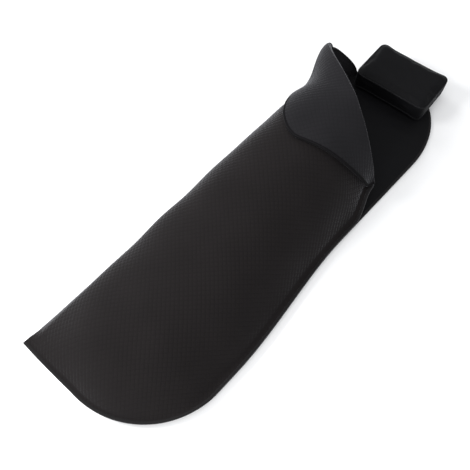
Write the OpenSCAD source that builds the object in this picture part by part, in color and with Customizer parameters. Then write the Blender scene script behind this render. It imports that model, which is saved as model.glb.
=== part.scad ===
// Infrared sauna blanket: a heated mat, a heated cover folded over it along one long side,
// the cover's turned-back corner and a loose head pillow.
// X runs across from the fold to the open side, Y from the foot to the head, Z up from the floor.

/* [Mat] */
// Length of the mat from the foot edge to the tip of the rounded head end
mat_l = 1870; // [1860:1:1880]
// Width of the mat at the foot
foot_w = 590; // [585:1:595]
// Width of the mat at the head
head_w = 540; // [536:1:544]
// Radius of the big round corner at the foot
foot_r = 345; // [335:1:355]
// Length of the rounded head end
head_arch = 350; // [340:1:360]
// How far the foot edge slants back
foot_slant = 10; // [6:1:14]

/* [Layers] */
// Outer fabric, and the lining less its bonding film
fabric_t = 1.5; // [1.2:0.1:1.8]
// Wadding in the mat
mat_wadding_t = 6.5; // [6:0.1:7]
// Wadding in the cover
cover_wadding_t = 5.4; // [5:0.1:5.8]
// Reflective film
film_t = 0.5; // [0.4:0.1:0.6]
// Felt that carries the heating ribbon
felt_t = 1.5; // [1.3:0.1:1.7]
// Width of the heating ribbon
ribbon_w = 9; // [8:0.5:10]
// Thickness of the heating ribbon
ribbon_t = 0.9; // [0.8:0.1:1]
// Width of the tape that binds the edges
binding_w = 2.5; // [2:0.1:3]

/* [Closure] */
// Width of the hook-and-loop tapes
tape_w = 20; // [18:1:22]
// Thickness of one tape
tape_t = 1.2; // [1:0.1:1.3]
// Where the closure ends, measured from the foot
closure_l = 1130; // [1100:5:1140]

/* [Cover] */
// Height of the cover over the feet
feet_h = 100; // [95:1:105]
// Height of the cover over the chest
chest_h = 222; // [215:1:226]
// Where the turned-back crease leaves the open side
crease_open_y = 1285; // [1280:1:1290]
// Where the crease meets the raised peak at the fold side
crease_peak_y = 1668; // [1660:1:1674]

/* [Pillow] */
// Pillow size across the mat
pillow_w = 350; // [340:1:356]
// Pillow size along the mat
pillow_d = 240; // [236:1:244]
// Pillow height
pillow_h = 90; // [85:1:95]
// How far the pillow is turned on the mat, in degrees
pillow_turn = 4; // [3:1:5]

/* [Hidden] */

// Stack heights
mat_ribbon_gap = ribbon_t + 0.3;
cover_ribbon_gap = ribbon_t + 0.9;
cover_ribbon_clear = 0.25;
mat_t = fabric_t + mat_wadding_t + film_t + felt_t + mat_ribbon_gap + fabric_t;
cover_t = fabric_t + cover_wadding_t + film_t + felt_t + cover_ribbon_gap + fabric_t;
closure_gap = 2 * tape_t + 0.4;
lining_z = mat_t - fabric_t;
felt_z = fabric_t + mat_wadding_t + film_t;
ribbon_z = felt_z + felt_t;
cover_base_z = mat_t + closure_gap + cover_t;

// Depths of the cover's layers below its outer face
depth_wadding = fabric_t;
depth_film = depth_wadding + cover_wadding_t;
depth_felt = depth_film + film_t;
depth_ribbon = depth_felt + felt_t;
depth_lining = depth_ribbon + cover_ribbon_gap;
layer_depths = [0, depth_wadding, depth_film, depth_felt, depth_ribbon, depth_lining, cover_t];

// Places in the row frame: the outer box, pillow and raised peak included, is centred on the origin
pillow_y = mat_l - 70;
pillow_x = 262;
pillow_reach = pillow_d / 2 * cos(pillow_turn) + pillow_w / 2 * sin(pillow_turn) - 1.5;
peak_overhang = 32.6;
origin_x = (foot_w - peak_overhang) / 2;
origin_y = (pillow_y + pillow_reach) / 2;

// Mat outline
arch_y = mat_l - head_arch;
slant_x = foot_w - foot_r;
taper_y = 430;
taper_l = 620;

// Cover shape
foot_rise = 240;
foot_margin = 15;
edge_margin = 22;
fold_drop = cover_t - 1;
fold_drop_share = 0.05;
crest = 0.45;
rise_l = 1450;
edge_lift_l = 150;
edge_lift_in = 44;
edge_lift_up = 50;
lean = 0.5;
lean_y = 1400;
lean_l = 250;
peak_u = 0.15;
fold_end_y = 1758;
crease_bend = 1.6;

// Corner points of the turned-back flap, as [share across the cover, distance from the foot]
flap_side = [0.09, 1450];
flap_side_pull = [0.13, 1370];
flap_corner_pull = [0.25, 1150];
flap_corner = [0.41, 1145];
flap_tip = [1, 1285];
flap_gap = 4.2;
flap_wadding_t = cover_t - 2 * fabric_t;

// Mesh density of the curved sheets
across_n = 18;
along_n = 22;
crease_n = 20;
flap_n = 8;

// Seam roll in the fold: the cover's hinge axis runs along its centre
roll_r = 1.3;
roll_z = mat_t + roll_r + 0.05;

// Inlet
inlet_w = 44;
inlet_d = 30;
inlet_r = 4.5;
inlet_depth = 12;
inlet_z = mat_t / 2;
inlet_y = mat_l - binding_w;
inlet_x = head_w / 2;
plate_t = 1.5;

// Pillow zipper
zip_l = 250;
zip_tape_w = 24;
zip_tape_t = 1;
tooth_pitch = 5;
tooth_w = 3;
tooth_h = 5;
tooth_t = 1.6;
slider_start = -zip_l / 2 + 12;

function clamp01(t) = min(1, max(0, t));
function smooth(t) = let (c = clamp01(t)) c * c * (3 - 2 * c);
function unit(v) = v / norm(v);
function mix(a, b, t) = a + (b - a) * t;

// Edges of the mat in plan, measured from the fold and foot corner
function open_edge(y) = foot_w - (foot_w - head_w) * smooth((y - taper_y) / taper_l);
function arch_half(y) = head_w / 2 * sqrt(1 - pow(clamp01((y - arch_y) / head_arch), 2));
function fold_edge(y) = head_w / 2 - arch_half(y);
function foot_edge(x) =
    let (d = min(foot_r, max(0, x - slant_x)))
    foot_slant * pow(clamp01(x / slant_x), 1.5)
    + (foot_r - foot_slant) * (1 - sqrt(1 - pow(d / foot_r, 2)));

// Mat outline drawn in from its edge by inset
function mat_outline(inset) = concat(
    [for (k = [0:6]) let (x = mix(inset, slant_x, k / 6)) [x, foot_edge(x) + inset]],
    [for (k = [1:16]) let (a = k * 90 / 16)
        [slant_x + (foot_r - inset) * sin(a),
         foot_r - (foot_r - foot_slant - inset) * cos(a)]],
    [for (k = [1:10]) let (y = taper_y + k * taper_l / 10) [open_edge(y) - inset, y]],
    [for (k = [0:28]) let (a = k * 180 / 28)
        [head_w / 2 + (head_w / 2 - inset) * cos(a), arch_y + (head_arch - inset) * sin(a)]]);

// Height of the cover at a share t of its width, y along the mat and d in from the foot edge
function ridge(y, d) =
    let (r = clamp01((d - foot_margin) / foot_rise))
    mix(feet_h, chest_h, smooth(y / rise_l)) * pow(1 - pow(1 - r, 2), 0.85);
function section(t, y) =
    let (n = mix(1.7, 2.4, smooth(y / 800)))
    t < crest ? pow(1 - pow(clamp01(1 - t / crest), n), 1 / n)
    : pow(1 - pow(clamp01((t - crest) / (1 - crest)), 2.1), 0.85);

// Columns are closer together near both long edges
function spread(u) = 0.375 * (1 - cos(180 * u)) + 0.25 * u;

// Head end of the cover: the crease, then the raised head edge at the fold side
function head_end(u) = u < peak_u
    ? mix(fold_end_y, crease_peak_y, u / peak_u)
    : mix(crease_open_y, crease_peak_y, pow(clamp01((1 - u) / (1 - peak_u)), crease_bend));

// Point on the cover's outer face at column u and distance y from the foot
function face_point(u, y) =
    let (
        t = spread(u),
        lift = smooth((y - closure_l) / edge_lift_l),
        x0 = fold_edge(y),
        x1 = open_edge(y) - binding_w - edge_lift_in * lift,
        y0 = foot_edge(t * (foot_w - binding_w)) + binding_w,
        rise = ridge(y, y - y0) * section(clamp01(t * (x1 - x0) / (x1 - x0 - edge_margin)), y),
        drop = fold_drop * (1 - smooth(t / fold_drop_share)) * smooth((y - y0 - foot_margin) / 60),
        h = rise + edge_lift_up * lift * pow(t, 3) - drop,
        out = lean * smooth((y - lean_y) / lean_l) * h * pow(1 - t, 1.5))
    [x0 + (x1 - x0) * t - out - origin_x, y - origin_y, cover_base_z + h];

// Direction out of the cover's face
function face_normal(u, y) =
    let (
        e = 0.004,
        a = face_point(min(1, u + e), y) - face_point(max(0, u - e), y),
        b = face_point(u, y + 4) - face_point(u, y - 4))
    unit(cross(a, b));

// Point at a depth below the face, kept above the closure gap at the fold
function cover_point(u, y, depth) =
    let (p = face_point(u, y) - depth * face_normal(u, y))
    [p[0], p[1], max(p[2], mat_t + closure_gap + 0.1 * (cover_t - depth))];

function cover_y(u, v) =
    let (y0 = foot_edge(spread(u) * (foot_w - binding_w)) + binding_w)
    mix(y0, head_end(u), v);

function cover_grid(depth) = [for (j = [0:along_n]) [for (i = [0:across_n])
    let (u = i / across_n) cover_point(u, cover_y(u, j / along_n), depth)]];

// Flap: rows run from the crease to the free edge, in the cover's own columns
function bezier(a, b, c, d, t) =
    pow(1 - t, 3) * a + 3 * t * pow(1 - t, 2) * b + 3 * t * t * (1 - t) * c + pow(t, 3) * d;
function flap_free_edge(s) =
    let (peak = [peak_u, crease_peak_y])
    s < 0.22 ? mix(peak, flap_side, s / 0.22)
    : s < 0.5 ? bezier(flap_side, flap_side_pull, flap_corner_pull, flap_corner, (s - 0.22) / 0.28)
    : let (u = mix(flap_corner[0], flap_tip[0], (s - 0.5) / 0.5))
        [u, mix(flap_corner[1], flap_tip[1], pow((s - 0.5) / 0.5, 1.3))];
function flap_crease(s) = let (u = mix(peak_u, 1, s)) [u, head_end(u)];
function flap_station(k) = 0.03 + 0.84 * k / crease_n;
function flap_point(s, w, height) =
    let (q = mix(flap_crease(s), flap_free_edge(s), w))
    cover_point(q[0], q[1], -height);
function flap_grid(height) = [for (j = [0:flap_n]) [for (i = [0:crease_n])
    flap_point(flap_station(i), j / flap_n, height)]];

// Closed sheet between two matching grids of points, the first one above
module sheet(top, bottom) {
    rows = len(top);
    cols = len(top[0]);
    skin = rows * cols;
    points = concat([for (row = top) each row], [for (row = bottom) each row]);
    faces = concat(
        [for (j = [0:rows - 2]) for (i = [0:cols - 2]) let (a = j * cols + i)
            each [[a, a + cols, a + 1], [a + 1, a + cols, a + cols + 1]]],
        [for (j = [0:rows - 2]) for (i = [0:cols - 2]) let (a = skin + j * cols + i)
            each [[a, a + 1, a + cols], [a + 1, a + cols + 1, a + cols]]],
        [for (i = [0:cols - 2]) let (a = i, b = skin + i)
            each [[a, a + 1, b], [a + 1, b + 1, b]]],
        [for (i = [0:cols - 2]) let (a = skin - cols + i, b = 2 * skin - cols + i)
            each [[a, b, a + 1], [a + 1, b, b + 1]]],
        [for (j = [0:rows - 2]) let (a = j * cols, b = skin + j * cols)
            each [[a, b, a + cols], [a + cols, b, b + cols]]],
        [for (j = [0:rows - 2]) let (a = (j + 1) * cols - 1, b = skin + (j + 1) * cols - 1)
            each [[a, a + cols, b], [a + cols, b + cols, b]]]);
    polyhedron(points, faces, convexity = 6);
}

module cover_layer(depth_top, depth_bottom) {
    sheet(cover_grid(depth_top), cover_grid(depth_bottom));
}

// Height of the flap's layers above the cover's face, its lining uppermost
module flap_layer(height_bottom, height_top) {
    sheet(flap_grid(height_bottom), flap_grid(height_top));
}

module place() {
    translate([-origin_x, -origin_y, 0]) children();
}

// Flat layer of the mat with the notch for the inlet
module mat_layer(z, t) {
    place() translate([0, 0, z]) linear_extrude(t) difference() {
        polygon(mat_outline(binding_w));
        inlet_notch(0.3);
    }
}

module inlet_notch(clear) {
    translate([inlet_x - inlet_w / 2 - clear, inlet_y - inlet_d - clear])
        square([inlet_w + 2 * clear, inlet_d + 20]);
}

// Plan shapes of the two pockets for the thermal cut-outs
cutout_size = [12, 26, 5];
cutout_places = [[150, 620], [390, 1240]];
module cutout_pockets(clear) {
    for (p = cutout_places)
        translate(p - [cutout_size[0] / 2 + clear, cutout_size[1] / 2 + clear])
            square([cutout_size[0] + 2 * clear, cutout_size[1] + 2 * clear]);
}

module mat_base_fabric() {
    color([0.12, 0.12, 0.13]) mat_layer(0, fabric_t);
}

module mat_wadding() {
    color([0.82, 0.82, 0.8]) difference() {
        mat_layer(fabric_t, mat_wadding_t);
        place() translate([0, 0, felt_z + felt_t - cutout_size[2] - 0.2])
            linear_extrude(cutout_size[2]) cutout_pockets(0.2);
    }
}

module mat_reflective_film() {
    color([0.8, 0.8, 0.83]) difference() {
        mat_layer(fabric_t + mat_wadding_t, film_t);
        place() linear_extrude(mat_t) cutout_pockets(0.2);
    }
}

module mat_heater_felt() {
    color([0.3, 0.3, 0.32]) difference() {
        mat_layer(felt_z, felt_t);
        place() linear_extrude(mat_t) cutout_pockets(0.2);
    }
}

// Serpentine of straight runs and half-ring turns
runs_n = 8;
run_pitch = 58;
run_x = 66;
run_y0 = 420;
run_y1 = 1500;
module mat_heating_ribbon() {
    color([0.12, 0.1, 0.1]) place() translate([0, 0, ribbon_z]) linear_extrude(ribbon_t) {
        for (i = [0:runs_n - 1])
            translate([run_x + i * run_pitch - ribbon_w / 2, run_y0])
                square([ribbon_w, run_y1 - run_y0]);
        for (i = [0:runs_n - 2])
            translate([run_x + (i + 0.5) * run_pitch, i % 2 == 0 ? run_y0 : run_y1])
                half_ring(i % 2 == 0 ? -1 : 1);
    }
}

module half_ring(side) {
    intersection() {
        difference() {
            circle((run_pitch + ribbon_w) / 2, $fn = 48);
            circle((run_pitch - ribbon_w) / 2, $fn = 48);
        }
        translate([-run_pitch, side > 0 ? 0 : -run_pitch]) square([2 * run_pitch, run_pitch]);
    }
}

module mat_thermal_cutouts() {
    color([0.75, 0.75, 0.76]) place() for (p = cutout_places)
        translate([p[0] - cutout_size[0] / 2, p[1] - cutout_size[1] / 2,
            felt_z + felt_t - cutout_size[2]])
            cube(cutout_size);
}

module mat_temperature_probe() {
    color([0.65, 0.45, 0.2]) place()
        translate([run_x + 2.5 * run_pitch - 4, 900, ribbon_z]) cube([8, 14, ribbon_t]);
}

// Leads from both ends of the ribbon to the inlet
lead_w = 3;
module mat_leads() {
    color([0.7, 0.12, 0.1]) place() translate([0, 0, ribbon_z]) linear_extrude(ribbon_t)
        for (side = [-1, 1]) {
            start_x = side < 0 ? run_x : run_x + (runs_n - 1) * run_pitch;
            bar([start_x, run_y1 + lead_w], [start_x, run_y1 + 80], lead_w);
            bar([start_x, run_y1 + 80], [inlet_x + side * 8, inlet_y - inlet_d - 30], lead_w);
            bar([inlet_x + side * 8, inlet_y - inlet_d - 30],
                [inlet_x + side * 8, inlet_y - inlet_d - lead_w], lead_w);
        }
}

// Straight bar with round ends between two points
module bar(a, b, w) {
    d = b - a;
    translate(a) rotate(atan2(d[1], d[0])) translate([0, -w / 2]) square([norm(d), w]);
    translate(a) circle(w / 2, $fn = 24);
    translate(b) circle(w / 2, $fn = 24);
}

module mat_lining() {
    color([0.07, 0.07, 0.08]) mat_layer(lining_z, fabric_t);
}

module mat_edge_binding() {
    color([0.16, 0.16, 0.17]) place() translate([0, 0, 0.5]) linear_extrude(mat_t - 0.5) difference() {
        polygon(mat_outline(0));
        polygon(mat_outline(binding_w));
        inlet_notch(0.3);
    }
}

// Strip of tape along the foot edge, the round corner and the open side
module closure_strip() {
    difference() {
        polygon(mat_outline(binding_w + 1));
        polygon(mat_outline(binding_w + 1 + tape_w));
        translate([-50, closure_l]) square([foot_w + 100, mat_l]);
        translate([-50, -50]) square([50 + 30, mat_l]);
    }
}

module closure_hook_tape() {
    color([0.1, 0.1, 0.1]) place() translate([0, 0, mat_t]) linear_extrude(tape_t) closure_strip();
}

module closure_loop_tape() {
    color([0.13, 0.13, 0.14]) place() translate([0, 0, mat_t + closure_gap - tape_t])
        linear_extrude(tape_t) closure_strip();
}

module fold_roll() {
    color([0.14, 0.14, 0.15]) place() translate([roll_r, 24, roll_z])
        rotate([-90, 0, 0]) cylinder(r = roll_r, h = arch_y - 28, $fn = 48);
}

// Flat appliance inlet let into the tip of the head end
module inlet_housing() {
    color([0.08, 0.08, 0.08]) place() difference() {
        translate([inlet_x - inlet_w / 2, inlet_y - inlet_d, plate_t])
            cube([inlet_w, inlet_d, mat_t - plate_t]);
        translate([inlet_x, inlet_y + 1, inlet_z + plate_t / 2]) rotate([90, 0, 0])
            cylinder(r = inlet_r, h = inlet_depth + 1, $fn = 48);
        for (side = [-1, 1])
            translate([inlet_x + side * 15, inlet_y - 20, plate_t - 1])
                cylinder(r = 1.2, h = 8, $fn = 32);
    }
}

module inlet_insulator() {
    color([0.5, 0.35, 0.2]) place()
        translate([inlet_x, inlet_y - inlet_depth + 1.5, inlet_z + plate_t / 2]) rotate([90, 0, 0])
            difference() {
                cylinder(r = inlet_r, h = 1.5, $fn = 48);
                for (a = [90, 210, 330])
                    rotate(a) translate([2.4, 0, -1]) cylinder(r = 0.5, h = 4, $fn = 24);
            }
}

module inlet_contacts() {
    color([0.8, 0.65, 0.3]) place() for (a = [90, 210, 330])
        translate([inlet_x, inlet_y - 7, inlet_z + plate_t / 2]) rotate([90, 0, 0])
            rotate(a) translate([2.4, 0, 0]) cylinder(r = 0.5, h = inlet_depth - 7, $fn = 24);
}

module inlet_clamp_plate() {
    color([0.7, 0.7, 0.72]) place() difference() {
        translate([inlet_x - inlet_w / 2, inlet_y - inlet_d, 0])
            cube([inlet_w, inlet_d, plate_t]);
        for (side = [-1, 1])
            translate([inlet_x + side * 15, inlet_y - 20, -1])
                cylinder(r = 1.3, h = plate_t + 2, $fn = 32);
    }
}

module inlet_screws() {
    color([0.6, 0.6, 0.62]) place() for (side = [-1, 1])
        translate([inlet_x + side * 15, inlet_y - 20, 0.2])
            cylinder(r = 1.15, h = 7, $fn = 32);
}

module cover_outer_fabric() {
    color([0.15, 0.15, 0.155]) cover_layer(0, depth_wadding);
}

module cover_wadding() {
    color([0.82, 0.82, 0.8]) cover_layer(depth_wadding, depth_film);
}

module cover_reflective_film() {
    color([0.8, 0.8, 0.83]) cover_layer(depth_film, depth_felt);
}

module cover_heater_felt() {
    color([0.3, 0.3, 0.32]) cover_layer(depth_felt, depth_ribbon);
}

// Serpentine in the cover, as a path in the columns and rows of the cover's grid
ribbon_columns = [4, 6, 8, 10, 12, 14];
ribbon_rows = [6, 17];
cover_ribbon_path = [for (k = [0:len(ribbon_columns) - 1])
    let (
        up = k % 2 == 0,
        rows = up ? [ribbon_rows[0]:ribbon_rows[1]] : [ribbon_rows[1]:-1:ribbon_rows[0]],
        turn = k < len(ribbon_columns) - 1 ? [[ribbon_columns[k] + 1, ribbon_rows[up ? 1 : 0]]] : [])
    each concat([for (j = rows) [ribbon_columns[k], j]], turn)];

// Point of a grid between its columns and rows
function grid_at(g, q) =
    let (i = min(across_n - 1, floor(q[0])), j = min(along_n - 1, floor(q[1])),
        a = q[0] - i, b = q[1] - j)
    mix(mix(g[j][i], g[j][i + 1], a), mix(g[j + 1][i], g[j + 1][i + 1], a), b);

// Step across the ribbon, in columns and rows, at point k of the path; corners are mitred
function ribbon_side(g, path, k) =
    let (
        q = path[k],
        before = q - path[max(0, k - 1)],
        after = path[min(len(path) - 1, k + 1)] - q,
        along = sign(before[1] + after[1]),
        across = sign(before[0] + after[0]),
        column = norm(grid_at(g, q + [0.5, 0]) - grid_at(g, q - [0.5, 0])),
        row = norm(grid_at(g, q + [0, 0.5]) - grid_at(g, q - [0, 0.5])))
    [along / column, -across / row] * ribbon_w / 2;
function ribbon_ring(top, bottom, path, k) =
    let (q = path[k], side = ribbon_side(top, path, k))
    [grid_at(top, q - side), grid_at(top, q), grid_at(top, q + side),
     grid_at(bottom, q + side), grid_at(bottom, q), grid_at(bottom, q - side)];
module cover_heating_ribbon() {
    ring_n = 6;
    top = cover_grid(depth_ribbon + cover_ribbon_clear);
    bottom = cover_grid(depth_ribbon + cover_ribbon_clear + ribbon_t);
    path = cover_ribbon_path;
    last = len(path) - 1;
    color([0.12, 0.1, 0.1]) polyhedron(
        [for (k = [0:last]) each ribbon_ring(top, bottom, path, k)],
        concat(
            [for (k = [0:last - 1]) for (c = [0:ring_n - 1])
                let (a = ring_n * k + c, b = ring_n * k + (c + 1) % ring_n)
                each [[a, a + ring_n, b], [b, a + ring_n, b + ring_n]]],
            [for (f = [[0, 1, 5], [1, 4, 5], [1, 2, 4], [2, 3, 4]]) f],
            [for (f = [[0, 5, 1], [1, 5, 4], [1, 4, 2], [2, 4, 3]])
                [for (c = f) ring_n * last + c]]),
        convexity = 8);
}

module cover_temperature_probe() {
    corners = [[9.1, 18.3], [9.4, 18.5]];
    top = cover_grid(depth_ribbon + cover_ribbon_clear);
    bottom = cover_grid(depth_ribbon + cover_ribbon_clear + ribbon_t);
    function patch(g) = [for (j = [0:1]) [for (i = [0:1])
        grid_at(g, [corners[i][0], corners[j][1]])]];
    color([0.65, 0.45, 0.2]) sheet(patch(top), patch(bottom));
}

module cover_lining() {
    color([0.07, 0.07, 0.08]) cover_layer(depth_lining, cover_t);
}

// Tape round the cover's foot and open edges, on the outer row and column of its grid
rim_n = across_n + along_n;
function rim_of(g) = concat(g[0], [for (j = [1:along_n]) g[j][across_n]]);
function rim_out(rim, k) =
    let (d = rim[min(rim_n, k + 1)] - rim[max(0, k - 1)])
    unit([d[1], -d[0], 0]) * binding_w;
module cover_edge_binding() {
    rims = [for (depth = layer_depths) rim_of(cover_grid(depth))];
    outer = [for (k = [0:rim_n]) rim_out(rims[0], k)];
    color([0.16, 0.16, 0.17])
        sheet(rims, [for (rim = rims) [for (k = [0:rim_n]) rim[k] + outer[k]]]);
}

module flap_outer_fabric() {
    color([0.15, 0.15, 0.155]) flap_layer(flap_gap, flap_gap + fabric_t);
}

module flap_wadding() {
    color([0.82, 0.82, 0.8]) flap_layer(flap_gap + fabric_t, flap_gap + fabric_t + flap_wadding_t);
}

module flap_lining() {
    color([0.14, 0.14, 0.15]) flap_layer(flap_gap + cover_t - fabric_t, flap_gap + cover_t);
}

// Tape along the flap's free edge
module flap_edge_binding() {
    rim = 0.015;
    heights = [flap_gap, flap_gap + fabric_t, flap_gap + cover_t - fabric_t, flap_gap + cover_t];
    function edge(w) = [for (height = heights) [for (i = [0:crease_n])
        flap_point(flap_station(i), w, height)]];
    color([0.16, 0.16, 0.17]) sheet(edge(1 + rim), edge(1));
}

// Pillow: rings of a rounded rectangle, drawn in towards the top and bottom edges
corner_n = 9;
edge_n = 4;
pillow_edge_r = 30;
pillow_corner_r = 45;
function pillow_ring(inset, z) =
    let (r = pillow_corner_r - inset / 2)
    [for (quarter = [0:3]) for (k = [0:corner_n])
        let (
            cx = (quarter == 0 || quarter == 3 ? 1 : -1) * (pillow_w / 2 - inset - r),
            cy = (quarter < 2 ? 1 : -1) * (pillow_d / 2 - inset - r),
            a = 90 * (quarter + k / corner_n))
        [cx + r * cos(a), cy + r * sin(a), z]];

// Ring at an angle round the top or bottom edge, 0 at the side wall and 90 on the flat face
function pillow_level(side, a, shrink) = pillow_ring(
    pillow_edge_r * (1 - cos(a)) + shrink,
    side * (pillow_h / 2 - shrink - (pillow_edge_r - shrink) * (1 - sin(a))));
module pillow_solid(shrink) {
    rings = concat(
        [for (k = [edge_n:-1:0]) pillow_level(-1, 90 * k / edge_n, shrink)],
        [for (k = [0:edge_n]) pillow_level(1, 90 * k / edge_n, shrink)]);
    n = len(rings[0]);
    last = len(rings) - 1;
    polyhedron(
        [for (ring = rings) each ring],
        concat(
            [[for (i = [0:n - 1]) i]],
            [for (j = [0:last - 1]) for (i = [0:n - 1])
                let (a = j * n + i, b = j * n + (i + 1) % n)
                each [[a, a + n, b], [b, a + n, b + n]]],
            [[for (i = [0:n - 1]) last * n + n - 1 - i]]));
}

module on_pillow() {
    translate([pillow_x - origin_x, pillow_y - origin_y, mat_t + 0.5 + pillow_h / 2])
        rotate(pillow_turn) children();
}

module pillow_foam() {
    color([0.85, 0.84, 0.8]) on_pillow() pillow_solid(fabric_t);
}

module pillow_cover() {
    color([0.08, 0.08, 0.09]) on_pillow() difference() {
        pillow_solid(0);
        pillow_solid(fabric_t);
    }
}

module pillow_zipper_tape() {
    color([0.06, 0.06, 0.07]) on_pillow()
        translate([-zip_l / 2, pillow_d / 2, -zip_tape_w / 2])
            cube([zip_l, zip_tape_t, zip_tape_w]);
}

module pillow_zipper_teeth() {
    color([0.25, 0.25, 0.26]) on_pillow()
        for (x = [-zip_l / 2 + 4 : tooth_pitch : zip_l / 2 - 4 - tooth_w])
            translate([x, pillow_d / 2 + zip_tape_t, -tooth_h / 2])
                cube([tooth_w, tooth_t, tooth_h]);
}

slider_y = pillow_d / 2 + zip_tape_t + tooth_t + 0.3;
pull_r = 0.8;
module pillow_zipper_slider() {
    color([0.3, 0.3, 0.31]) on_pillow() translate([slider_start, slider_y, 0]) {
        translate([-5, 0, -4.5]) cube([10, 2, 9]);
        for (side = [-1, 1]) difference() {
            translate([side * 2.6 - 0.6, 2, -1.6]) cube([1.2, 3.2, 4]);
            translate([side * 2.6 - 1, 3.6, 0.4]) rotate([0, 90, 0])
                cylinder(r = pull_r + 0.08, h = 2, $fn = 32);
        }
    }
}

// Pull tab with its cross bar, hanging from the slider's two lugs
module pillow_zipper_pull() {
    color([0.3, 0.3, 0.31]) on_pillow() translate([slider_start, slider_y + 3.6, 0.4]) {
        rotate([0, 90, 0]) cylinder(r = pull_r, h = 6.6, center = true, $fn = 32);
        translate([-1.6, -pull_r, -20]) cube([3.2, 2 * pull_r, 20]);
    }
}

mat_base_fabric();
mat_wadding();
mat_reflective_film();
mat_heater_felt();
mat_heating_ribbon();
mat_thermal_cutouts();
mat_temperature_probe();
mat_leads();
mat_lining();
mat_edge_binding();
closure_hook_tape();
fold_roll();
inlet_housing();
inlet_insulator();
inlet_contacts();
inlet_clamp_plate();
inlet_screws();
cover_outer_fabric();
cover_wadding();
cover_reflective_film();
cover_heater_felt();
cover_heating_ribbon();
cover_temperature_probe();
cover_lining();
cover_edge_binding();
closure_loop_tape();
flap_outer_fabric();
flap_wadding();
flap_lining();
flap_edge_binding();
pillow_foam();
pillow_cover();
pillow_zipper_tape();
pillow_zipper_teeth();
pillow_zipper_slider();
pillow_zipper_pull();
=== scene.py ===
"""Infrared sauna blanket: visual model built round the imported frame."""

import math

import bmesh
import bpy
import numpy as np
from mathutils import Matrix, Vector
from mathutils.bvhtree import BVHTree

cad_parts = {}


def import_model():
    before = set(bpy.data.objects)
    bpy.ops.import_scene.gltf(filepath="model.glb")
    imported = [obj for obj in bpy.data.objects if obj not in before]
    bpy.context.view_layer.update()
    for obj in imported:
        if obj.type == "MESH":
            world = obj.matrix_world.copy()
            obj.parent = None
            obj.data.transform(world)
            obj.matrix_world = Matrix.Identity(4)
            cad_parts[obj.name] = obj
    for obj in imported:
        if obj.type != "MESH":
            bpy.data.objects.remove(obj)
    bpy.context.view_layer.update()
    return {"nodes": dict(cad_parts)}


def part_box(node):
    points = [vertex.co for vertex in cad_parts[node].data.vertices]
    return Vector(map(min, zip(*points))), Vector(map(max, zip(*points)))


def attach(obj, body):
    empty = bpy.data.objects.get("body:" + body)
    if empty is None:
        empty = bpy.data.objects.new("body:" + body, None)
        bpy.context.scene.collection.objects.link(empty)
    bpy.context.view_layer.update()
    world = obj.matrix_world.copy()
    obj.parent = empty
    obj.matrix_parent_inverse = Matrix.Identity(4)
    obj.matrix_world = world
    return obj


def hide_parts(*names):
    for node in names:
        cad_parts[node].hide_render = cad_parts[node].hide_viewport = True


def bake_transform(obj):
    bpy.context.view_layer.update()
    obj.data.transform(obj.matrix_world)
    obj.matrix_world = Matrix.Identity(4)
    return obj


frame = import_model()
nodes = frame["nodes"]
scene = bpy.context.scene

# ---------------------------------------------------------------- camera
PITCH, YAW = math.radians(63.9), math.radians(-43.4)
camera_data = bpy.data.cameras.new("camera")
camera_data.sensor_width = 36
camera_data.lens = 38.45
camera = bpy.data.objects.new("camera", camera_data)
scene.collection.objects.link(camera)
scene.camera = camera
camera.location = (0.5283, -0.7772, 1.708)
look = Vector((math.sin(YAW) * math.cos(PITCH), math.cos(YAW) * math.cos(PITCH), -math.sin(PITCH)))
camera.rotation_euler = look.to_track_quat("-Z", "Y").to_euler()

# ---------------------------------------------------------------- shape of the blanket, in mm
# X runs from the fold, Y from the foot edge. These repeat the source of the CAD part, except that the
# crease, the peak and the head edge stand a little nearer the foot, as the photograph shows them
MAT_L, FOOT_W, HEAD_W, FOOT_R, HEAD_ARCH, FOOT_SLANT = 1870, 590, 540, 345, 350, 10
MAT_T, COVER_T, BINDING = 12.7, 12.2, 2.5
FOLD_FLOOR = MAT_T + 2.8
COVER_BASE = FOLD_FLOOR + COVER_T
ARCH_Y, SLANT_X = MAT_L - HEAD_ARCH, FOOT_W - FOOT_R
CLOSURE_L, PEAK_U, CREST = 1130, 0.15, 0.45
FOLD_END_Y, CREASE_PEAK_Y, CREASE_OPEN_Y, CREASE_BEND = 1752, 1645, 1283, 1.75
TAPER_START, TAPER_END = 430, 1050
# The ridge: its heights over the feet and the chest, the flat rim at the foot and the rise from it
RIDGE_FOOT, RIDGE_CHEST, CHEST_Y = 100, 222, 1450
FOOT_RIM, FOOT_RISE, SIDE_RIM = 15, 240, 22
# The section across: how round it is at the foot and from the hips on, and how it falls to the edge
ROUND_FOOT, ROUND_HIPS, HIPS_Y, FALL_ROUND, EASE = 1.7, 2.4, 800, 2.1, 0.85
# Past the closure the open edge goes in and up; beside the fold the cover comes down on the mat
LIFT_L, LIFT_IN, LIFT_UP = 150, 44, 50
FOLD_DROP, DROP_SHARE, DROP_L = 11.2, 0.05, 60
BULGE_OUT, BULGE_Y, BULGE_L = 0.5, 1400, 250
ORIGIN = np.array(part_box("mat_edge_binding")[0]) * [1000, 1000, 0]


def smooth(t):
    """Soft step from 0 to 1."""
    c = np.clip(t, 0, 1)
    return c * c * (3 - 2 * c)


def mix(a, b, t):
    """From a, at t 0, to b, at t 1."""
    return a + (b - a) * t


def unit(v):
    """Vectors made one long."""
    return v / np.maximum(np.linalg.norm(v, axis=-1, keepdims=True), 1e-12)


def open_edge(y):
    """Width of the blanket at y, which is where its open side lies."""
    return FOOT_W - (FOOT_W - HEAD_W) * smooth((y - TAPER_START) / (TAPER_END - TAPER_START))


def arch(y):
    """Half width of the rounded head end."""
    return HEAD_W / 2 * np.sqrt(1 - np.clip((y - ARCH_Y) / HEAD_ARCH, 0, 1) ** 2)


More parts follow.
